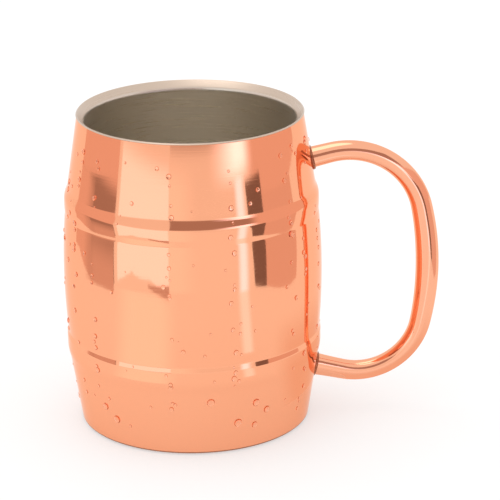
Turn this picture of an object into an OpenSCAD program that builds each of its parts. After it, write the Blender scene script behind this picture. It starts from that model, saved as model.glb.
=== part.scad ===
// Double-walled barrel mug with a bent tube handle, made in stainless sheet and plated on the outside.
// The shell, the drinking cup and the base cap are spun pieces welded to each other at the rim and the foot,
// with a sealed air gap between the shell and the cup. The handle is a hollow tube, coped to the shell and
// welded at both ends.
// Units are millimetres. +Z is up, +X points from the mug's axis to the handle.
// The origin is on the mug's axis, in the plane that it stands on.

/* [Barrel] */
// overall height, foot to rim
body_h = 114; // [80:1:160]
// outside radius at the widest point
waist_r = 46.25; // [36:0.05:70]
// how much narrower the middle is at its upper end
sag_top = 1.05; // [0.2:0.05:3]
// how much narrower the middle is at its lower end
sag_low = 0.95; // [0.2:0.05:3]
// how much narrower the rim is than the neck, just above the top step
neck_taper = 4.15; // [1:0.05:8]
// how much narrower the foot is than the top of the cone above it
foot_taper = 3.85; // [1:0.05:8]
// thickness of the shell's sheet
shell_t = 0.6; // [0.4:0.1:1.5]

/* [Steps] */
// height of the top step's upper edge below the rim
top_step_drop = 26.5; // [15:0.5:45]
// height of the top step
top_step_h = 3; // [1:0.5:6]
// how far the top step stands out
top_step_out = 1.15; // [0.2:0.05:2]
// height of the band under the top step, down to the groove where the middle starts
upper_band_h = 6; // [2:0.1:12]
// how far that band bows out
upper_band_bow = 0.15; // [0.05:0.05:0.5]
// height of the low step
low_step_h = 1.8; // [1:0.1:5]
// how far the low step stands out
low_step_out = 0.4; // [0.1:0.05:1]
// height of the low step's lower edge above the foot
low_step_z = 32.6; // [20:0.1:50]
// height of the band under the low step
low_band_h = 5; // [2:0.1:12]
// height of the turn from that band to the foot's cone
low_turn_h = 3; // [2:0.1:8]
// how far that turn goes in
low_turn_in = 0.8; // [0.2:0.05:2]

/* [Cup] */
// thickness of the cup's sheet
cup_t = 0.6; // [0.4:0.1:1.5]
// width of the lip, from the rim's edge to the cup's wall
lip_w = 2.7; // [1.6:0.1:5]
// height of the lip's slope
lip_h = 2.6; // [1.5:0.1:5]
// air gap between the cup and the shell at the widest point
waist_gap = 4.4; // [2:0.1:8]
// height of the cup's floor, on its inside
floor_z = 7.6; // [5:0.1:20]
// radius of the cup's bottom corner, on its inside
cup_corner = 6; // [3:0.5:12]

/* [Base cap] */
// thickness of the base cap's sheet
cap_t = 0.8; // [0.5:0.1:1.5]
// radius of the base cap's foot corner
cap_corner = 1.6; // [1:0.1:2.5]
// width of the foot's flat ring
foot_w = 2.4; // [1.5:0.1:5]
// how far the middle of the base stands above the foot
base_recess = 2.2; // [1:0.1:4]
// height of the cap's flange inside the shell
flange_h = 5; // [3:0.5:9]
// height of the shell's lower edge above the foot
shell_edge_z = 1.1; // [0.8:0.1:2]

/* [Handle] */
// outside diameter of the handle's tube at the grip
tube_d = 8; // [5:0.1:12]
// how much smaller the tube's radius is at the corners, and again at the ends
tube_draw = 0.2; // [0.05:0.05:0.4]
// wall of the handle's tube
tube_t = 0.8; // [0.5:0.1:1.5]
// height of the upper joint below the rim, on the shell's skin
joint_drop = 18.5; // [12:0.1:24]
// height of the lower joint above the foot, on the shell's skin
joint_low_z = 16.7; // [12:0.1:19]
// rise of the upper end, in degrees
rise_top = 13; // [0:0.5:25]
// straight length at the upper end, from the joint
straight_top = 6.8; // [2:0.1:20]
// bend radius of the upper corner, on the tube's centre
bend_top = 27.3; // [15:0.1:40]
// turn of the upper corner, in degrees
turn_top = 91.5; // [80:0.5:100]
// turn of the grip, in degrees
turn_grip = 23.5; // [5:0.5:40]
// bend radius of the lower corner, on the tube's centre
bend_low = 23.6; // [15:0.1:40]
// turn of the lower corner, in degrees
turn_low = 91.5; // [70:0.5:100]
// radius of the fillet welds' beads
bead_r = 0.9; // [0.5:0.1:2]

/* [Hidden] */
$fn = 96;
skin_fn = 240;
over = 1;
// bands that the long arcs and the small corners are made of
bulge_n = 16;
bow_n = 6;
wall_n = 24;
corner_n = 8;

// heights of the skin's corners, from the top down
lip_z = body_h - cup_t;
step1_hi = body_h - top_step_drop;
step1_lo = step1_hi - top_step_h;
groove_z = step1_lo - upper_band_h;
step2_lo = low_step_z;
step2_hi = step2_lo + low_step_h;
turn_hi = step2_lo - low_band_h;
turn_lo = turn_hi - low_turn_h;

// radii of the skin's corners, from the widest point up and down
groove_r = waist_r - sag_top;
neck_r = groove_r - top_step_out;
rim_r = neck_r - neck_taper;
step2_r = waist_r - sag_low;
band_r = step2_r + low_step_out;
turn_r = band_r - low_turn_in;
foot_r = turn_r - foot_taper;
cone_slope = foot_taper / turn_lo;
turn_bow = low_turn_in / 5;
// lower edge of the wall, carried down to the foot's plane
function foot_skin(z) = foot_r + cone_slope * z;
// upper cone
rim_slope = (neck_r - rim_r) / (body_h - step1_hi);
function neck_skin(z) = rim_r + rim_slope * (body_h - z);

// bow of the band under the top step, over a share t of its height
function band_skin(t) = groove_r + 4 * upper_band_bow * t * (1 - t);

// bulge of the middle: one arc from the low step to the groove, widest at waist_r
bulge_top = groove_z;
bulge_low = step2_hi;
bulge_span = bulge_top - bulge_low;
bulge_z = bulge_low + bulge_span * sqrt(sag_low) / (sqrt(sag_low) + sqrt(sag_top));
bulge_reach = bulge_z - bulge_low;
bulge_R = (bulge_reach * bulge_reach + sag_low * sag_low) / (2 * sag_low);
function bulge_skin(z) = waist_r - bulge_R + sqrt(bulge_R * bulge_R - (z - bulge_z) * (z - bulge_z));

// cup: its lip rests on the shell's upper edge, its wall is one long arc, and its corner is round
lip_edge_r = neck_skin(lip_z);
lip_seat_r = lip_edge_r - shell_t;
cup_top_r = rim_r - lip_w;
cup_top_z = body_h - lip_h;
cup_waist_r = waist_r - shell_t - waist_gap - cup_t;
cup_low_z = floor_z + cup_corner;
cup_mid_z = (cup_top_z + cup_low_z) / 2;
cup_sag = cup_waist_r - cup_top_r;
cup_reach = cup_top_z - cup_mid_z;
cup_R = (cup_reach * cup_reach + cup_sag * cup_sag) / (2 * cup_sag);
function cup_wall(z) = cup_waist_r - cup_R + sqrt(cup_R * cup_R - (z - cup_mid_z) * (z - cup_mid_z));
floor_r = cup_wall(cup_low_z) - cup_corner;

// base cap
cap_r = foot_skin(shell_edge_z) - shell_t;
cap_flange_z = shell_edge_z + flange_h;
cap_flange_r = foot_skin(cap_flange_z) - shell_t;
dish_r = cap_r - cap_corner - foot_w;
dish_top_r = dish_r - base_recess;

// handle: the centre line from the upper joint, as arcs that run into each other
tube_r = tube_d / 2;
corner_tube_r = tube_r - tube_draw;
end_tube_r = corner_tube_r - tube_draw;
// length that each stretch runs on inside the thicker one beside it
stretch_lap = 0.4;
joint_top_z = body_h - joint_drop;
end_top_x = neck_skin(joint_top_z);
end_low_x = foot_skin(joint_low_z);
// start of the tube, inside the shell before it is coped
root_len = 3;
heading1 = rise_top;
heading2 = heading1 - turn_top;
heading3 = heading2 - turn_grip;
heading4 = heading3 - turn_low;
p1x = end_top_x + straight_top * cos(heading1);
p1z = joint_top_z + straight_top * sin(heading1);
c1x = p1x + bend_top * sin(heading1);
c1z = p1z - bend_top * cos(heading1);
p2x = c1x - bend_top * sin(heading2);
p2z = c1z + bend_top * cos(heading2);
// the grip's bend radius and the straight lower end are what brings the tube to its lower joint
grip_dx = sin(heading2) - sin(heading3);
grip_dz = cos(heading3) - cos(heading2);
gap_x = end_low_x - p2x - bend_low * (sin(heading3) - sin(heading4));
gap_z = joint_low_z - p2z - bend_low * (cos(heading4) - cos(heading3));
across = grip_dx * sin(heading4) - grip_dz * cos(heading4);
bend_grip = (gap_x * sin(heading4) - gap_z * cos(heading4)) / across;
low_run = (grip_dx * gap_z - grip_dz * gap_x) / across;
c2x = p2x + bend_grip * sin(heading2);
c2z = p2z - bend_grip * cos(heading2);
p3x = c2x - bend_grip * sin(heading3);
p3z = c2z + bend_grip * cos(heading3);
c3x = p3x + bend_low * sin(heading3);
c3z = p3z - bend_low * cos(heading3);
p4x = c3x - bend_low * sin(heading4);
p4z = c3z + bend_low * cos(heading4);

plated = [0.93, 0.58, 0.44];
steel = [0.78, 0.76, 0.73];
weld_tone = [0.55, 0.33, 0.25];

// Points along an arc about [cx, cz].
function arc(cx, cz, r, from, to, n) =
    [for (i = [0:n]) [cx + r * cos(from + (to - from) * i / n), cz + r * sin(from + (to - from) * i / n)]];

function backwards(points) = [for (i = [len(points) - 1:-1:0]) points[i]];

// The barrel's skin from z_low up to z_top, moved in by inset.
function skin(inset, z_low, z_top) = [
    [foot_skin(z_low) - inset, z_low],
    [turn_r - inset, turn_lo],
    [(turn_r + band_r) / 2 + turn_bow - inset, (turn_lo + turn_hi) / 2],
    [band_r - inset, turn_hi],
    [band_r - inset, step2_lo],
    for (i = [0:bulge_n]) [
        (i == 0 ? step2_r : i == bulge_n ? groove_r : bulge_skin(bulge_low + bulge_span * i / bulge_n)) - inset,
        bulge_low + bulge_span * i / bulge_n
    ],
    for (i = [1:bow_n]) [band_skin(i / bow_n) - inset, groove_z + upper_band_h * i / bow_n],
    [neck_r - inset, step1_hi],
    [neck_skin(z_top) - inset, z_top]
];

// Everything inside the skin, as a solid, for coping what is welded to it.
module barrel_solid() {
    rotate_extrude($fn = skin_fn)
        polygon([[0, 0], each skin(0, 0, body_h), [0, body_h]]);
}

// Pressed outer shell, open at the top and the bottom.
module outer_shell() {
    color(plated)
        rotate_extrude($fn = skin_fn)
            polygon(concat(skin(0, shell_edge_z, lip_z), backwards(skin(shell_t, shell_edge_z, lip_z))));
}

// Drawn cup with its floor and its sloped lip, which rests on the shell's upper edge.
module inner_cup() {
    wall_z = [for (i = [0:wall_n]) cup_top_z + (cup_low_z - cup_top_z) * i / wall_n];
    color(steel)
        rotate_extrude($fn = skin_fn)
            polygon([
                [lip_edge_r - cup_t, body_h],
                each [for (z = wall_z) [cup_wall(z), z]],
                each [for (p = arc(floor_r, cup_low_z, cup_corner, -10, -90, corner_n)) p],
                [0, floor_z],
                [0, floor_z - cup_t],
                each [for (p = arc(floor_r, cup_low_z, cup_corner + cup_t, -90, -10, corner_n)) p],
                each [for (i = [wall_n:-1:0]) [cup_wall(wall_z[i]) + cup_t, wall_z[i]]],
                [lip_seat_r, lip_z],
                [lip_edge_r, lip_z],
                [lip_edge_r, body_h - cup_t / 2],
                [lip_edge_r - cup_t / 2, body_h]
            ]);
}

// Pressed base cap: a flange inside the shell, the foot's ring and a raised middle.
module base_cap() {
    corner_r = cap_r - cap_corner;
    slant = cap_t * tan(22.5);
    color(plated)
        rotate_extrude($fn = skin_fn)
            polygon([
                [cap_flange_r, cap_flange_z],
                each arc(corner_r, cap_corner, cap_corner, 0, -90, corner_n),
                [dish_r, 0],
                [dish_top_r, base_recess],
                [0, base_recess],
                [0, base_recess + cap_t],
                [dish_top_r + slant, base_recess + cap_t],
                [dish_r + slant, cap_t],
                each arc(corner_r, cap_corner, cap_corner - cap_t, -90, 0, corner_n),
                [cap_flange_r - cap_t, cap_flange_z]
            ]);
}

// Weld root under the lip, in the corner between the shell and the cup.
module rim_weld() {
    under_slope = (lip_seat_r - cup_top_r - cup_t) / (lip_z - cup_top_z);
    color(weld_tone)
        rotate_extrude($fn = skin_fn)
            polygon([
                [lip_seat_r, lip_z],
                [neck_skin(lip_z - bead_r) - shell_t, lip_z - bead_r],
                [lip_seat_r - under_slope * bead_r, lip_z - bead_r]
            ]);
}

// Weld round the foot, from the shell's lower edge down to the base cap's corner.
module base_weld() {
    corner_r = cap_r - cap_corner;
    a_hi = -asin((cap_corner - shell_edge_z) / cap_corner);
    a_low = -55;
    low_x = corner_r + cap_corner * cos(a_low);
    low_z = cap_corner + cap_corner * sin(a_low);
    wide = foot_skin(shell_edge_z) - low_x;
    tall = shell_edge_z - low_z;
    color(weld_tone)
        rotate_extrude($fn = skin_fn)
            polygon([
                each arc(corner_r, cap_corner, cap_corner, a_hi, a_low, corner_n),
                for (a = [75:-15:0]) [low_x + wide * cos(a), shell_edge_z - tall * sin(a)]
            ]);
}

// One arc of the handle about a centre, from heading a round to heading b.
// lap_a and lap_b carry it on past each end, into the next stretch.
module tube_arc(cx, cz, bend, a, b, r, lap_a, lap_b) {
    turn_a = lap_a / bend * 180 / PI;
    turn_b = lap_b / bend * 180 / PI;
    translate([cx, 0, cz])
        rotate([90, 0, 0])
            rotate([0, 0, 90 + b - turn_b])
                rotate_extrude(angle = a - b + turn_a + turn_b)
                    translate([bend, 0])
                        tube_section(r);
}

// Section of the tube at one of its stretches.
module tube_section(r) {
    difference() {
        circle(r = r);
        circle(r = r - tube_t);
    }
}

// Straight stretch from a point along a heading, coped to the skin.
module tube_end(x, z, heading, len) {
    difference() {
        translate([x, 0, z])
            rotate([0, 90 - heading, 0])
                linear_extrude(height = len)
                    tube_section(end_tube_r);
        barrel_solid();
    }
}

// Hollow bent tube, drawn a little thinner at each stretch from the grip to its ends.
module handle_tube() {
    color(plated) {
        tube_end(end_top_x - root_len * cos(heading1), joint_top_z - root_len * sin(heading1),
                 heading1, root_len + straight_top + stretch_lap);
        tube_arc(c1x, c1z, bend_top, heading1, heading2, corner_tube_r, 0, stretch_lap);
        tube_arc(c2x, c2z, bend_grip, heading2, heading3, tube_r, 0, 0);
        tube_arc(c3x, c3z, bend_low, heading3, heading4, corner_tube_r, stretch_lap, 0);
        tube_end(p4x - stretch_lap * cos(heading4), p4z - stretch_lap * sin(heading4),
                 heading4, stretch_lap + low_run + root_len);
    }
}

// Fillet weld round one end of the handle, in the corner between the tube and the skin.
module end_weld(x, z, heading) {
    color(weld_tone)
        difference() {
            translate([x, 0, z])
                rotate([0, 90 - heading, 0])
                    rotate_extrude()
                        difference() {
                            translate([end_tube_r, 0])
                                circle(r = bead_r);
                            translate([0, -bead_r - over])
                                square([end_tube_r, 2 * (bead_r + over)]);
                        }
            barrel_solid();
        }
}

module upper_handle_weld() {
    end_weld(end_top_x, joint_top_z, heading1);
}

module lower_handle_weld() {
    end_weld(end_low_x, joint_low_z, heading4 + 180);
}

outer_shell();
inner_cup();
base_cap();
rim_weld();
base_weld();
handle_tube();
upper_handle_weld();
lower_handle_weld();
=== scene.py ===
# A double-walled barrel mug in copper-plated steel, with a steel lip and lining and a bent tube handle.
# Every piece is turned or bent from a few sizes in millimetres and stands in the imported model's frame.
import math
import random

import bmesh
import bpy
from mathutils import Matrix, Vector


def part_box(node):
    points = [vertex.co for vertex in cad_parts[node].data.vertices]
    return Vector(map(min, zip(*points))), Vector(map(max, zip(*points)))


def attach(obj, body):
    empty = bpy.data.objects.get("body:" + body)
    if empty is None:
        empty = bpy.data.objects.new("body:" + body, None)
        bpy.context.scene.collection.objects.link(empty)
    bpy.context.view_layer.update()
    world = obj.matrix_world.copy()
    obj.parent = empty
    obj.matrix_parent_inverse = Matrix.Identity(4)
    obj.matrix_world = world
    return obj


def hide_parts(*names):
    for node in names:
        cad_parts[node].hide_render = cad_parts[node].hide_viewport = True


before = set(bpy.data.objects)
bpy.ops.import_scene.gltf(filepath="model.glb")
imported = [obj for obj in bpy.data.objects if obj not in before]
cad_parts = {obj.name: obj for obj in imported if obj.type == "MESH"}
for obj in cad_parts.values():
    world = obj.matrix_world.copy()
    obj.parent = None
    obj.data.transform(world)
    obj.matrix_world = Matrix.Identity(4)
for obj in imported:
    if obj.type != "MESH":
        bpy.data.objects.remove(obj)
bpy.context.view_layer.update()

MM = 0.001
UP = Vector((0, 0, 1))
ACROSS = Vector((0, 1, 0))

# ---------------------------------------------------------------- sizes, in millimetres and degrees
# taken from the frame
body_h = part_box("inner_cup")[1].z / MM
waist_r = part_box("outer_shell")[1].y / MM

# heights of the shell's corners: upper step, groove under the upper band, lower step, lower band's turn
top_step_drop, top_step_h = 26.5, 3
upper_band_h = 6
low_step_z, low_step_h = 32.6, 1.8
low_band_h, low_turn_h = 5, 3
lip_edge_h = 0.6
lip_top = body_h - lip_edge_h
step1_hi = body_h - top_step_drop
step1_lo = step1_hi - top_step_h
groove_z = step1_lo - upper_band_h
step2_lo = low_step_z
step2_hi = step2_lo + low_step_h
turn_hi = step2_lo - low_band_h
turn_lo = turn_hi - low_turn_h
shell_edge = 1.1
shell_t = 0.6

# how far the radius changes at each of them
sag_top, sag_low = 1.05, 0.95
top_step_out, low_step_out, low_turn_in = 1.15, 0.4, 0.8
neck_taper, foot_taper = 4.15, 3.85
band_bow = 0.15
groove_r = waist_r - sag_top
neck_r = groove_r - top_step_out
rim_r = neck_r - neck_taper
step2_r = waist_r - sag_low
band_r = step2_r + low_step_out
turn_r = band_r - low_turn_in
foot_r = turn_r - foot_taper
neck_slope = (neck_r - rim_r) / (body_h - step1_hi)
foot_slope = (turn_r - foot_r) / turn_lo

# how far the shell's corners are rounded
step_round, turn_round_off, crease_round = 0.8, 1.4, 0.3

# cup
cup_t = 0.6
waist_gap = 4.4
lip_inset = 0.15
lip_round = 0.9
lip_w = 2.7
lip_h = 2.6
cup_waist_r = waist_r - shell_t - waist_gap - cup_t
floor_z = 7.6
cup_corner = 6

# base cap
cap_t = 0.8
cap_corner = 1.6
foot_w = 2.4
base_recess = 2.2
flange_h = 5
flange_top = shell_edge + flange_h

# handle's centre line, as straight stretches and right-hand bends
joint_drop = 18.5
joint_top_z = body_h - joint_drop
joint_low_z = 16.7
rise_top = 13
straight_top = 6.8
bend_top, turn_top = 27.3, 91.5
turn_grip = 23.5
bend_low, turn_low = 23.6, 91.5
tube_r = 3.5
grip_swell = 0.65
flare_top, flare_low = 0.3, 0.5
flare_run = 7
tube_t = 0.8
tube_sunk = 0.35
bead_r = 0.7

# beads of water: azimuths of the runs and of the large beads, how far they stray from them in degrees,
# how many of the others there are, and their radii; the length and height of a bead are shares of its radius
BEAD_RUNS = (24, 61, 88, 120, 152, 188, 204, 219, 258, 286, 317, 327, 343)
BEADS_IN_RUN = 15
STRAY_BEADS = 110
BIG_BEADS = (40, 110, 170, 215, 232, 268, 289, 300, 300, 310)
bead_low, bead_high = 8, body_h - 7
big_bead_high = 26
RUN_SPREAD, BIG_SPREAD = 0.9, 6
BEAD_LENGTH, BEAD_HEIGHT = 1.12, 0.5
RUN_RADII, STRAY_RADII, BIG_RADII = (0.42, 1.0), (0.32, 0.85), (1.0, 1.5)

# mesh fineness
AROUND = 256
TUBE_SIDES = 48
WAIST_ROWS, BAND_ROWS, CUP_ROWS, FLOOR_ROWS, CAP_ROWS = 22, 6, 40, 10, 12
ROW = 2.0
TUBE_ROW = 1.2
# how far from the end of the handle's centre line its cut end may reach
cut_reach = 12


# ---------------------------------------------------------------- mesh work
def line_rows(a, b):
    """Points from a up to b, not counting b, about ROW apart."""
    n = max(1, round(math.dist(a, b) / ROW))
    return [(a[0] + (b[0] - a[0]) * i / n, a[1] + (b[1] - a[1]) * i / n) for i in range(n)]


def arc_rows(r_low, r_mid, r_top, z_low, z_top, n):
    """Points of one arc that is widest at r_mid, from z_low to z_top."""
    dip_low, dip_top = r_mid - r_low, r_mid - r_top
    share = math.sqrt(dip_low) / (math.sqrt(dip_low) + math.sqrt(dip_top))
    z_mid = z_low + (z_top - z_low) * share
    reach = z_mid - z_low
    big = (reach * reach + dip_low * dip_low) / (2 * dip_low)
    heights = [z_low + (z_top - z_low) * i / n for i in range(n + 1)]
    return [(r_mid - big + math.sqrt(big * big - (z - z_mid) ** 2), z) for z in heights]


def bow_rows(radius, z_low, z_top, bow, n):
    """Points that bow out between two heights, not counting the lower end."""
    shares = [i / n for i in range(1, n + 1)]
    return [(radius + 4 * bow * share * (1 - share), z_low + (z_top - z_low) * share) for share in shares]


def chain(bm, points):
    """A wire through (radius, height) points."""
    verts = [bm.verts.new((r * MM, 0, z * MM)) for r, z in points]
    for a, b in zip(verts, verts[1:]):
        bm.edges.new((a, b))
    return verts


def soften(bm, radius, corners):
    """Rounds the wire's corners that lie at the given heights."""
    found = [v for v in bm.verts if any(abs(v.co.z / MM - z) < 1e-4 for z in corners)]
    bmesh.ops.bevel(bm, geom=found, offset=radius * MM, offset_type="OFFSET", segments=5,
                    profile=0.5, affect="VERTICES", material=-1)


def turn_round(bm, axis=UP, centre=(0, 0, 0), steps=AROUND):
    """Turns the wire a full turn into a closed skin with its faces outward."""
    bmesh.ops.spin(bm, geom=bm.verts[:] + bm.edges[:], cent=centre, axis=axis, dvec=(0, 0, 0),
                   angle=math.tau, steps=steps, use_merge=True, use_duplicate=False)
    bmesh.ops.remove_doubles(bm, verts=bm.verts[:], dist=1e-6)
    bmesh.ops.recalc_face_normals(bm, faces=bm.faces[:])


def piece(bm, name, material, body="root", sharp=50):
    """The finished mesh as an object that rides on a body."""
    mesh = bpy.data.meshes.new(name)
    bm.to_mesh(mesh)
    bm.free()
    mesh.polygons.foreach_set("use_smooth", [True] * len(mesh.polygons))
    mesh.set_sharp_from_angle(angle=math.radians(sharp))
    obj = bpy.data.objects.new(name, mesh)
    bpy.context.scene.collection.objects.link(obj)
    mesh.materials.append(material)
    if body:
        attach(obj, body)
    return obj


# ---------------------------------------------------------------- materials
def to_linear(code):
    """A colour given as sRGB hex, as linear RGBA."""
    parts = [int(code[i:i + 2], 16) / 255 for i in (1, 3, 5)]
    return tuple(c / 12.92 if c <= 0.04045 else ((c + 0.055) / 1.055) ** 2.4 for c in parts) + (1,)


def add(tree, kind, inputs=None, **settings):
    """Adds a node with its settings and with values or links on its inputs."""
    made = tree.nodes.new(kind)
    for name, value in settings.items():
        setattr(made, name, value)
    for socket, value in (inputs or {}).items():
        if isinstance(value, bpy.types.NodeSocket):
            tree.links.new(value, made.inputs[socket])
        else:
            made.inputs[socket].default_value = value
    return made


def new_material(name):
    material = bpy.data.materials.new(name)
    material.use_nodes = True
    material.node_tree.nodes.clear()
    return material, material.node_tree


# copper keeps its colour almost to the edge of a curve, and doesn't turn white there
COPPER_GRAZING = "#fee9da"


def plated_copper(name, light, warm, rough, ring_mm, peel_mm, depth):
    """Mirror-polished copper plate. The eye sees a warm pink mirror, a little redder in places,
    with faint polishing lines and a slow waviness that bends reflected edges."""
    material, tree = new_material(name)
    place = add(tree, "ShaderNodeTexCoord").outputs["Object"]
    rings = add(tree, "ShaderNodeMapping", {"Vector": place, "Scale": (0.02, 0.02, 1)})
    lines = add(tree, "ShaderNodeTexNoise", {"Vector": rings.outputs["Vector"], "Scale": 1 / (ring_mm * MM),
                                             "Detail": 4, "Roughness": 0.6})
    peel = add(tree, "ShaderNodeTexNoise", {"Vector": place, "Scale": 1 / (peel_mm * MM), "Detail": 1})
    tone = add(tree, "ShaderNodeTexNoise", {"Vector": place, "Scale": 1 / (60 * MM), "Detail": 2})
    colour = add(tree, "ShaderNodeMix", {"Factor": tone.outputs["Fac"], "A": to_linear(light),
                                         "B": to_linear(warm)}, data_type="RGBA")
    gloss = add(tree, "ShaderNodeMapRange", {"Value": lines.outputs["Fac"], "From Min": 0.3, "From Max": 0.7,
                                             "To Min": rough * 0.6, "To Max": rough * 1.5})
    fine = add(tree, "ShaderNodeBump", {"Strength": 0.05, "Distance": depth * MM,
                                        "Height": lines.outputs["Fac"]})
    wavy = add(tree, "ShaderNodeBump", {"Strength": 0.2, "Distance": depth * MM,
                                        "Height": peel.outputs["Fac"], "Normal": fine.outputs["Normal"]})
    shader = add(tree, "ShaderNodeBsdfPrincipled", {"Base Color": colour.outputs["Result"], "Metallic": 1.0,
                                                    "Roughness": gloss.outputs["Result"],
                                                    "Specular Tint": to_linear(COPPER_GRAZING),
                                                    "Normal": wavy.outputs["Normal"]})
    add(tree, "ShaderNodeOutputMaterial", {"Surface": shader.outputs["BSDF"]})
    return material


def satin_steel(name, light, dark, lip, rough, ring_mm):
    """Stainless steel spun to a satin. The eye sees pale grey with fine rings that follow the turning,
    and a lip painted darker and warmer as painted shade."""
    material, tree = new_material(name)
    place = add(tree, "ShaderNodeTexCoord").outputs["Object"]
    rings = add(tree, "ShaderNodeMapping", {"Vector": place, "Scale": (0.02, 0.02, 1)})
    lines = add(tree, "ShaderNodeTexNoise", {"Vector": rings.outputs["Vector"], "Scale": 1 / (ring_mm * MM),
                                             "Detail": 5, "Roughness": 0.7})
    colour = add(tree, "ShaderNodeMix", {"Factor": lines.outputs["Fac"], "A": to_linear(light),
                                         "B": to_linear(dark)}, data_type="RGBA")
    height = add(tree, "ShaderNodeSeparateXYZ", {"Vector": place}).outputs["Z"]
    # painted shade: above this height the lip's colour is mixed toward a darker, warmer tone
    lip_shade_mask = add(tree, "ShaderNodeMapRange", {"Value": height, "From Min": (body_h - lip_h - 0.5) * MM,
                                              "From Max": (body_h - lip_h + 0.5) * MM})
    lip_shaded_colour = add(tree, "ShaderNodeMix", {"Factor": lip_shade_mask.outputs["Result"], "A": colour.outputs["Result"],
                                        "B": to_linear(lip)}, data_type="RGBA")
    gloss = add(tree, "ShaderNodeMapRange", {"Value": lines.outputs["Fac"], "From Min": 0.3, "From Max": 0.7,
                                             "To Min": rough * 0.7, "To Max": rough * 1.3})
    bump = add(tree, "ShaderNodeBump", {"Strength": 0.15, "Distance": 0.02 * MM,
                                        "Height": lines.outputs["Fac"]})
    shader = add(tree, "ShaderNodeBsdfPrincipled", {"Base Color": lip_shaded_colour.outputs["Result"], "Metallic": 1.0,
                                                    "Roughness": gloss.outputs["Result"],
                                                    "Normal": bump.outputs["Normal"]})
    add(tree, "ShaderNodeOutputMaterial", {"Surface": shader.outputs["BSDF"]})
    return material


def weld_in_painted_shade(name, light, dark, rough, grain_mm):
    """A weld under copper plate, coloured dark as painted shade in the gap at its joint. The eye sees a dark,
    uneven line with a soft gleam.
    """
    material, tree = new_material(name)
    place = add(tree, "ShaderNodeTexCoord").outputs["Object"]
    grain = add(tree, "ShaderNodeTexNoise", {"Vector": place, "Scale": 1 / (grain_mm * MM), "Detail": 3})
    colour = add(tree, "ShaderNodeMix", {"Factor": grain.outputs["Fac"], "A": to_linear(light),
                                         "B": to_linear(dark)}, data_type="RGBA")
    bump = add(tree, "ShaderNodeBump", {"Strength": 0.5, "Distance": 0.1 * MM,
                                        "Height": grain.outputs["Fac"]})
    shader = add(tree, "ShaderNodeBsdfPrincipled", {"Base Color": colour.outputs["Result"], "Metallic": 1.0,
                                                    "Roughness": rough, "Normal": bump.outputs["Normal"]})
    add(tree, "ShaderNodeOutputMaterial", {"Surface": shader.outputs["BSDF"]})
    return material


def still_water(name):
    """Clear water. The eye sees the copper behind it bent into a dark upper edge and a bright lower one."""
    material, tree = new_material(name)
    place = add(tree, "ShaderNodeTexCoord").outputs["Object"]
    ripple = add(tree, "ShaderNodeTexNoise", {"Vector": place, "Scale": 1 / (3 * MM), "Detail": 1})
    bump = add(tree, "ShaderNodeBump", {"Strength": 0.1, "Distance": 0.05 * MM,
                                        "Height": ripple.outputs["Fac"]})
    shader = add(tree, "ShaderNodeBsdfPrincipled", {"Base Color": (1, 1, 1, 1), "Roughness": 0.02,
                                                    "IOR": 1.333, "Transmission Weight": 1.0,
                                                    "Normal": bump.outputs["Normal"]})
    add(tree, "ShaderNodeOutputMaterial", {"Surface": shader.outputs["BSDF"]})
    return material


copper_skin = plated_copper("mirror_copper_plate", "#fbb089", "#f9a981", 0.06, 0.7, 14, 0.05)
copper_tube = plated_copper("mirror_copper_plate_on_tube", "#fbb592", "#f8ac87", 0.09, 0.7, 9, 0.05)
copper_base = plated_copper("turned_copper_plate", "#f4a981", "#ee9e74", 0.16, 0.4, 12, 0.05)
# the lining's last colour is the painted shade on its lip
steel_lining = satin_steel("satin_stainless_steel", "#efe9e0", "#e9e3d9", "#d0bcab", 0.32, 0.5)
# the welds are real, but their dark colours are painted shade for the gaps at the shell's seams and the
# handle's joints
foot_weld_shade = weld_in_painted_shade("dressed_weld_copper_plate_painted_shade", "#b87b5c", "#8f563d", 0.3, 1.5)
handle_weld_shade = weld_in_painted_shade("fillet_weld_copper_plate_painted_shade", "#bd7b5c", "#854d37", 0.28, 1.2)


# ---------------------------------------------------------------- pieces
def skin_outline():
    """The shell's outer side as (radius, height) points, from its lower edge up to the lip."""
    outline = [
        *line_rows((foot_r + foot_slope * shell_edge, shell_edge), (turn_r, turn_lo)),
        (turn_r, turn_lo),
        *line_rows((band_r, turn_hi), (band_r, step2_lo)),
        (band_r, step2_lo),
        *arc_rows(step2_r, waist_r, groove_r, step2_hi, groove_z, WAIST_ROWS),
        *bow_rows(groove_r, groove_z, step1_lo, band_bow, BAND_ROWS),
        *line_rows((neck_r, step1_hi), (rim_r, body_h)),
    ]
    outline = [p for p in outline if p[1] < lip_top - ROW / 4]
    outline.append((rim_r + neck_slope * (body_h - lip_top), lip_top))
    return outline


def outer_shell():
    """Spun shell with its stepped bands, rounded as pressed sheet is."""
    bm = bmesh.new()
    chain(bm, skin_outline())
    soften(bm, step_round, [step1_hi, step1_lo])
    soften(bm, turn_round_off, [turn_lo, turn_hi])
    soften(bm, crease_round, [groove_z, step2_hi, step2_lo])
    turn_round(bm)
    bmesh.ops.solidify(bm, geom=bm.faces[:], thickness=shell_t * MM)
    shell = piece(bm, "barrel_shell", copper_skin)
    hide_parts("outer_shell")


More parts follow.
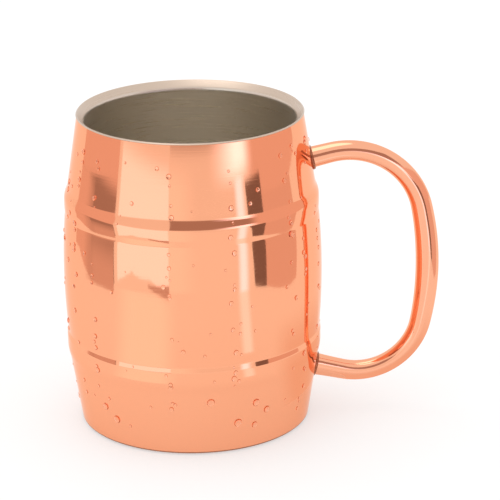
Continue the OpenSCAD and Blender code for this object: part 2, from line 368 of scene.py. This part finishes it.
def inner_cup():
    """Drawn cup with its floor, and the sloped lip that rests on the shell's upper edge."""
    bm = bmesh.new()
    wall_low, wall_top = floor_z + cup_corner, body_h - lip_h
    reach, sag = (wall_top - wall_low) / 2, cup_waist_r - (rim_r - lip_w)
    big = (reach * reach + sag * sag) / (2 * sag)
    middle = (wall_low + wall_top) / 2
    wall = [(cup_waist_r - big + math.sqrt(big * big - (z - middle) ** 2), z)
            for z in [wall_top + (wall_low - wall_top) * i / CUP_ROWS for i in range(CUP_ROWS + 1)]]
    floor_r = wall[-1][0] - cup_corner
    corner = [(floor_r + cup_corner * math.cos(math.radians(a)),
               wall_low + cup_corner * math.sin(math.radians(a))) for a in range(-12, -90, -6)]
    floor = [(floor_r * (1 - i / FLOOR_ROWS), floor_z) for i in range(FLOOR_ROWS + 1)]
    edge_r = rim_r + neck_slope * (body_h - lip_top)
    chain(bm, [(edge_r - lip_inset, body_h), *wall, *corner, *floor])
    soften(bm, lip_round, [wall_top])
    turn_round(bm)
    bmesh.ops.solidify(bm, geom=bm.faces[:], thickness=cup_t * MM)
    cup = piece(bm, "cup_and_lip", steel_lining)
    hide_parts("inner_cup")


def base_cap():
    """Pressed base cap: a flange inside the shell, the foot's ring and a raised middle."""
    bm = bmesh.new()
    cap_r = foot_r + foot_slope * shell_edge - shell_t
    dish_r = cap_r - cap_corner - foot_w
    corner = [(cap_r - cap_corner + cap_corner * math.cos(math.radians(a)),
               cap_corner + cap_corner * math.sin(math.radians(a))) for a in range(0, -91, -10)]
    middle = [((dish_r - base_recess) * (1 - i / CAP_ROWS), base_recess) for i in range(CAP_ROWS + 1)]
    chain(bm, [(foot_r + foot_slope * flange_top - shell_t, flange_top), *corner, (dish_r, 0), *middle])
    soften(bm, 0.8, [0])
    turn_round(bm)
    bmesh.ops.solidify(bm, geom=bm.faces[:], thickness=cap_t * MM)
    cap = piece(bm, "base_cap_dish", copper_base)
    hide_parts("base_cap")


def along(heading, length):
    """A step of that length along a heading in the XZ plane."""
    return Vector((math.cos(math.radians(heading)), 0, math.sin(math.radians(heading)))) * length


def handle_line():
    """The handle's stretches: its start, and each stretch as (length, bend radius or None)."""
    start = Vector((rim_r + neck_slope * (body_h - joint_top_z), 0, joint_top_z))
    h1 = rise_top
    h2 = h1 - turn_top
    h3 = h2 - turn_grip
    h4 = h3 - turn_low
    p2 = start + along(h1, straight_top) + along(h1 - 90, bend_top) + along(h2 + 90, bend_top)
    low = Vector((foot_r + foot_slope * joint_low_z, 0, joint_low_z))
    gap = low - p2 - along(h3 - 90, bend_low) - along(h4 + 90, bend_low)
    side, run = along(h2 - 90, 1) + along(h3 + 90, 1), along(h4, 1)
    across = side.x * run.z - side.z * run.x
    bend_grip = (gap.x * run.z - gap.z * run.x) / across
    low_run = (side.x * gap.z - side.z * gap.x) / across
    return start, low, h1, h4, [(straight_top, None), (turn_top, bend_top), (turn_grip, bend_grip),
                                (turn_low, bend_low), (low_run, None)]


def tube_radius(place, total):
    """The tube's outer radius along its length: fullest at the grip, and a little flared at both joints."""
    place = min(max(place, 0), total)
    swell = grip_swell * math.sin(math.pi * place / total) ** 6
    top, low = math.exp(-place / flare_run), math.exp((place - total) / flare_run)
    return tube_r + swell + flare_top * top + flare_low * low


def handle():
    """Bent tube, thickest at the grip, its ends cut to the shell's slope."""
    start, low, heading, _, stretches = handle_line()
    spare = 2.0
    total = sum(math.radians(s) * b if b else s for s, b in stretches)
    bm = bmesh.new()
    aim = Matrix.Translation((start - along(heading, spare)) * MM) @ Matrix.Rotation(
        math.radians(90 - heading), 4, "Y")
    here, done, last_r = start - along(heading, spare), -spare, tube_radius(0, total)
    ring = bmesh.ops.create_circle(bm, cap_ends=False, radius=last_r * MM, segments=TUBE_SIDES,
                                   matrix=aim)["verts"]
    edges = list({e for v in ring for e in v.link_edges})
    steps = [(spare, None)] + stretches[:-1] + [(stretches[-1][0] + spare, None)]
    for size, bend in steps:
        length = math.radians(size) * bend if bend else size
        n = max(1, round(length / TUBE_ROW))
        for _ in range(n):
            if bend:
                centre = here + along(heading - 90, bend)
                heading -= size / n
                here = centre + along(heading + 90, bend)
                made = bmesh.ops.spin(bm, geom=edges, cent=centre * MM, axis=ACROSS, dvec=(0, 0, 0),
                                      angle=math.radians(size / n), steps=1, use_merge=False,
                                      use_duplicate=False)["geom_last"]
            else:
                made = bmesh.ops.extrude_edge_only(bm, edges=edges)["geom"]
                moved = [g for g in made if isinstance(g, bmesh.types.BMVert)]
                bmesh.ops.translate(bm, verts=moved, vec=along(heading, length / n) * MM)
                here = here + along(heading, length / n)
            ring = [g for g in made if isinstance(g, bmesh.types.BMVert)]
            edges = [e for e in {e for v in ring for e in v.link_edges}
                     if e.verts[0] in set(ring) and e.verts[1] in set(ring)]
            done += length / n
            grow = tube_radius(done, total) / last_r
            last_r *= grow
            bmesh.ops.scale(bm, vec=(grow, grow, grow), space=Matrix.Translation(-here * MM), verts=ring)
    bmesh.ops.recalc_face_normals(bm, faces=bm.faces[:])
    for point, slope in ((start, neck_slope), (low, -foot_slope)):
        outward = Vector((1, 0, slope)).normalized()
        verts = {v for v in bm.verts if (v.co / MM - point).length < cut_reach}
        near = [v for v in bm.verts if v in verts]
        near += [g for g in bm.edges[:] + bm.faces[:] if verts.issuperset(g.verts)]
        bmesh.ops.bisect_plane(bm, geom=near, plane_co=(point - outward * tube_sunk) * MM, plane_no=outward,
                               clear_inner=True)
    bmesh.ops.solidify(bm, geom=bm.faces[:], thickness=tube_t * MM)
    tube = piece(bm, "handle_bent_tube", copper_tube)
    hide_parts("handle_tube")


def joint_bead(name, node, at, heading, ring_r):
    """Fillet weld round one end of the handle."""
    bm = bmesh.new()
    aim = Matrix.Translation(at * MM) @ Matrix.Rotation(math.radians(90 - heading), 4, "Y")
    section = Matrix.Translation((ring_r * MM, 0, 0)) @ Matrix.Rotation(math.radians(90), 4, "X")
    bmesh.ops.create_circle(bm, cap_ends=False, radius=bead_r * MM, segments=16, matrix=section)
    turn_round(bm, steps=64)
    bmesh.ops.transform(bm, matrix=aim, verts=bm.verts[:])
    bead = piece(bm, name, handle_weld_shade)
    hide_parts(node)


def condensation():
    """Beads of water that stand on a cold mug, most of them in loose runs down the wall."""
    draw = random.Random(11)
    outline = skin_outline()
    places = [(az + draw.gauss(0, RUN_SPREAD), draw.uniform(bead_low, bead_high), draw.uniform(*RUN_RADII))
              for az in BEAD_RUNS for _ in range(BEADS_IN_RUN)]
    places += [(draw.uniform(0, 360), draw.uniform(bead_low, bead_high), draw.uniform(*STRAY_RADII))
               for _ in range(STRAY_BEADS)]
    places += [(az + draw.gauss(0, BIG_SPREAD), draw.uniform(bead_low, big_bead_high),
                draw.uniform(*BIG_RADII)) for az in BIG_BEADS]
    bm = bmesh.new()
    # each bead is made by itself and then joined, because an operator on a full bmesh is slow
    one = bpy.data.meshes.new("one_bead")
    for az, z, wide in places:
        above = next(i for i, point in enumerate(outline) if point[1] > z)
        (r1, z1), (r2, z2) = outline[above - 1], outline[above]
        slope = (r2 - r1) / (z2 - z1)
        turned = Matrix.Rotation(math.radians(az), 4, "Z")
        at = turned @ Vector((r1 + slope * (z - z1), 0, z))
        outward = turned @ Vector((1, 0, -slope))
        aim = outward.to_track_quat("Z", "Y").to_matrix().to_4x4()
        shape = Matrix.Diagonal((wide, wide * BEAD_LENGTH, wide * BEAD_HEIGHT, 1))
        bead = bmesh.new()
        bmesh.ops.create_uvsphere(bead, u_segments=10, v_segments=6, radius=MM,
                                  matrix=Matrix.Translation(at * MM) @ aim @ shape)
        bead.to_mesh(one)
        bead.free()
        bm.from_mesh(one)
    bpy.data.meshes.remove(one)
    piece(bm, "condensation_beads", still_water("condensed_water"), sharp=80)


outer_shell()
inner_cup()
base_cap()
handle()
condensation()
top_joint, low_joint, top_heading, low_heading, _ = handle_line()
joint_bead("upper_joint_bead", "upper_handle_weld", top_joint, top_heading, tube_r + flare_top)
joint_bead("lower_joint_bead", "lower_handle_weld", low_joint, low_heading + 180, tube_r + flare_low)
# the seam welds take the weld colour that carries painted shade
for name in ("rim_weld", "base_weld"):
    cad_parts[name].material_slots[0].material = foot_weld_shade


# ---------------------------------------------------------------- studio
# what the cards send back: warm from the dark boards, cool from the lights
DARK = "#ffe3dc"
SOFT = "#ecf0ff"
COOL = "#d5dcff"


def soft_card(name, colour, strength, fades):
    """A light card that fades out between an azimuth or height where it is clear and one where it is full."""
    material, tree = new_material(name)
    place = add(tree, "ShaderNodeTexCoord").outputs["Object"]
    # the gradient starts and ends at the azimuth of 90 degrees, where there is no card
    turned = add(tree, "ShaderNodeMapping", {"Vector": place, "Rotation": (0, 0, math.pi / 2)})
    sweep = add(tree, "ShaderNodeTexGradient", {"Vector": turned.outputs["Vector"]}, gradient_type="RADIAL")
    reads = {"azimuth": sweep.outputs["Fac"],
             "height": add(tree, "ShaderNodeSeparateXYZ", {"Vector": place}).outputs["Z"]}
    shares = {"azimuth": lambda az: (az - 90) % 360 / 360, "height": lambda z: z * MM}
    cover = None
    for kind, clear, full in fades:
        limits = {"Value": reads[kind], "From Min": shares[kind](clear), "From Max": shares[kind](full)}
        edge = add(tree, "ShaderNodeMapRange", limits, interpolation_type="SMOOTHSTEP").outputs["Result"]
        if cover:
            edge = add(tree, "ShaderNodeMath", {0: cover, 1: edge}, operation="MULTIPLY").outputs["Value"]
        cover = edge
    light = add(tree, "ShaderNodeEmission", {"Color": to_linear(colour), "Strength": strength})
    surface = light.outputs["Emission"]
    if cover:
        nothing = add(tree, "ShaderNodeBsdfTransparent").outputs["BSDF"]
        surface = add(tree, "ShaderNodeMixShader", {0: cover, 1: nothing, 2: surface}).outputs["Shader"]
    add(tree, "ShaderNodeOutputMaterial", {"Surface": surface})
    return material


def card(name, low, top, colour, strength, fades=()):
    """A flat-folded card that only polished metal sees, as a reflector or a flag.
    Its lower and upper edges are given by (azimuth, distance, height) points."""
    bm = bmesh.new()
    for edge in (low, top):
        verts = [bm.verts.new(Matrix.Rotation(math.radians(az), 4, "Z") @ Vector((far * MM, 0, z * MM)))
                 for az, far, z in edge]
        for a, b in zip(verts, verts[1:]):
            bm.edges.new((a, b))
    bmesh.ops.bridge_loops(bm, edges=bm.edges[:])
    panel = piece(bm, name, soft_card(name, colour, strength, fades), body=None)
    panel.visible_camera = False
    panel.visible_diffuse = False
    panel.visible_shadow = False


def arc_edge(az_from, az_to, far, z, step=5):
    """A card's edge that stays at one distance and height."""
    n = max(1, round(abs(az_to - az_from) / step))
    return [(az_from + (az_to - az_from) * i / n, far, z) for i in range(n + 1)]


def shifted(edge, out=0, height=None):
    """A card's edge further out, or brought to one height."""
    return [(az, far + out, z if height is None else height) for az, far, z in edge]


def floor_and_sky():
    """A pale floor, 12 metres across, that glows a little under an even white sky."""
    bm = bmesh.new()
    bmesh.ops.create_circle(bm, cap_ends=True, radius=6, segments=64)
    material, tree = new_material("pale_floor")
    shader = add(tree, "ShaderNodeBsdfPrincipled", {"Base Color": (0.5, 0.5, 0.5, 1), "Roughness": 0.8,
                                                    "Specular IOR Level": 0.1, "Emission Strength": 0.5,
                                                    "Emission Color": (1, 1, 1, 1)})
    add(tree, "ShaderNodeOutputMaterial", {"Surface": shader.outputs["BSDF"]})
    piece(bm, "floor", material, body=None)

    world = bpy.data.worlds.new("studio")
    world.use_nodes = True
    world.node_tree.nodes["Background"].inputs["Color"].default_value = (1, 1, 1, 1)
    world.node_tree.nodes["Background"].inputs["Strength"].default_value = 1.0
    bpy.context.scene.world = world


def left_cards():
    """Dark boards on the left with a paler wall above them, then a soft light that spills past its edge."""
    foot = [(151, 270, 5), (157, 267, 5), (166, 231, 5), (177, 207, 5), (190, 207, 5), (202, 223, 5)]
    tops = [(151, 270, 60), (157, 267, 62), (166, 231, 72), (177, 207, 79), (190, 207, 85), (202, 223, 90)]
    card("flag_left", foot, tops, DARK, 0.42, [("height", 88, 78)])
    card("flag_left_pale", shifted(foot[:4], -1), shifted(tops[:4], -1), DARK, 0.88,
         [("azimuth", 186, 163), ("height", 82, 68)])
    card("flag_left_haze", arc_edge(166, 202, 203, 5, 12), arc_edge(166, 202, 203, 60, 12), DARK, 0.75,
         [("azimuth", 166, 182), ("height", 58, 20)])
    card("wall_left", shifted(tops, 2, 50), shifted(tops, 2, 150), DARK, 0.9)

    box_foot = [(205, 232, 7), (213, 232, 14), (218.8, 232, 20), (221, 232, 17), (226, 232, 15),
                (234, 232, 15), (242, 232, 8), (249.5, 208, 5)]
    card("softbox_left", box_foot, shifted(box_foot, 0, 130), SOFT, 1.7, [("height", 112, 96)])
    spill_foot = [(249.5, 232, 5), (262, 232, 5), (275, 232, 5)]
    card("softbox_spill", spill_foot, shifted(spill_foot, 0, 130), "#ffffff", 1.16,
         [("azimuth", 275, 254), ("height", 112, 96)])
    card("low_board", [(232, 240, 5), (249.5, 208, 5)], [(232, 240, 8), (249.5, 208, 18)], DARK, 0.68)
    # painted light: a brighter patch on the floor, seen only in the metal's reflection
    card("painted_floor_light_left", arc_edge(200, 258, 95, 1), arc_edge(200, 258, 231, 1), "#ffffff", 1.22,
         [("azimuth", 200, 220), ("azimuth", 258, 240)])


def right_cards():
    """A narrow upright light with its streak on the floor and a glare above it, then dark boards."""
    # painted shade: a dimmer, warm patch on the floor, seen only in the metal's reflection
    card("painted_floor_shade_right", arc_edge(326, 400, 55, 1), arc_edge(326, 400, 150, 4), "#ffece2", 0.95,
         [("azimuth", 326, 350), ("height", 4, 2)])
    card("strip_light", arc_edge(304, 317, 232, 0), arc_edge(304, 317, 232, 96), COOL, 2.5,
         [("azimuth", 303, 308), ("azimuth", 315, 309.5)])
    card("strip_on_floor", arc_edge(302, 315, 110, 1), arc_edge(302, 315, 231, 1), SOFT, 1.6,
         [("azimuth", 302, 307.5), ("azimuth", 315, 310)])
    card("flare", arc_edge(280, 332, 230, 90), arc_edge(280, 332, 230, 135), COOL, 4,
         [("azimuth", 281, 325), ("azimuth", 331, 304), ("height", 92, 104)])

    card("flag_right", [(318.5, 227, 5), (329.2, 215, 5)], [(314.4, 229, 93), (329.2, 215, 93)], DARK, 0.24)
    far_foot = [(328, 217, 5), (353, 192, 5), (361.2, 201, 5), (365.4, 268, 5)]
    far_tops = [(328, 217, 85), (353, 192, 79), (361.2, 201, 77), (365.4, 268, 74)]
    card("flag_far_right", far_foot, far_tops, DARK, 0.85)
    wall_foot = [(312, 236, 80), *far_tops[:3], (380, 268, 74)]
    card("wall_right", wall_foot, shifted(wall_foot, 0, 150), DARK, 0.9, [("azimuth", 314, 326)])
    card("dark_room", arc_edge(250, 330, 240, 104), arc_edge(250, 330, 240, 260), DARK, 0.45,
         [("height", 108, 122)])


def overhead_lamp():
    """A large weak lamp above, for the mug's soft shadow."""
    light = bpy.data.lights.new("overhead", "AREA")
    light.shape = "DISK"
    light.size = 0.9
    light.energy = 2
    lamp = bpy.data.objects.new("overhead", light)
    lamp.location = (-0.2, 0.1, 1.2)
    lamp.rotation_euler = (-lamp.location).to_track_quat("-Z", "Y").to_euler()
    bpy.context.scene.collection.objects.link(lamp)


def camera():
    """A long lens that looks down at the front of the mug, a little to the left of it."""
    data = bpy.data.cameras.new("camera")
    data.lens = 191.8
    data.sensor_width = 36
    data.clip_end = 20
    obj = bpy.data.objects.new("camera", data)
    bpy.context.scene.collection.objects.link(obj)
    forward = Vector((0.04936, 0.94182, -0.33249)).normalized()
    right = Vector((0.99863, -0.05234, 0)).normalized()
    up = right.cross(forward).normalized()
    roll = math.radians(0.69)
    right_r = right * math.cos(roll) - up * math.sin(roll)
    up_r = right * math.sin(roll) + up * math.cos(roll)
    turn = Matrix((right_r, up_r, -forward)).transposed()
    place = Vector((-0.02661, -0.89984, 0.3789))
    obj.matrix_world = Matrix.Translation(place) @ turn.to_4x4()
    bpy.context.scene.camera = obj


floor_and_sky()
left_cards()
right_cards()
overhead_lamp()
camera()
bpy.context.scene.view_settings.view_transform = "Standard"
bpy.context.scene.cycles.glossy_bounces = 12
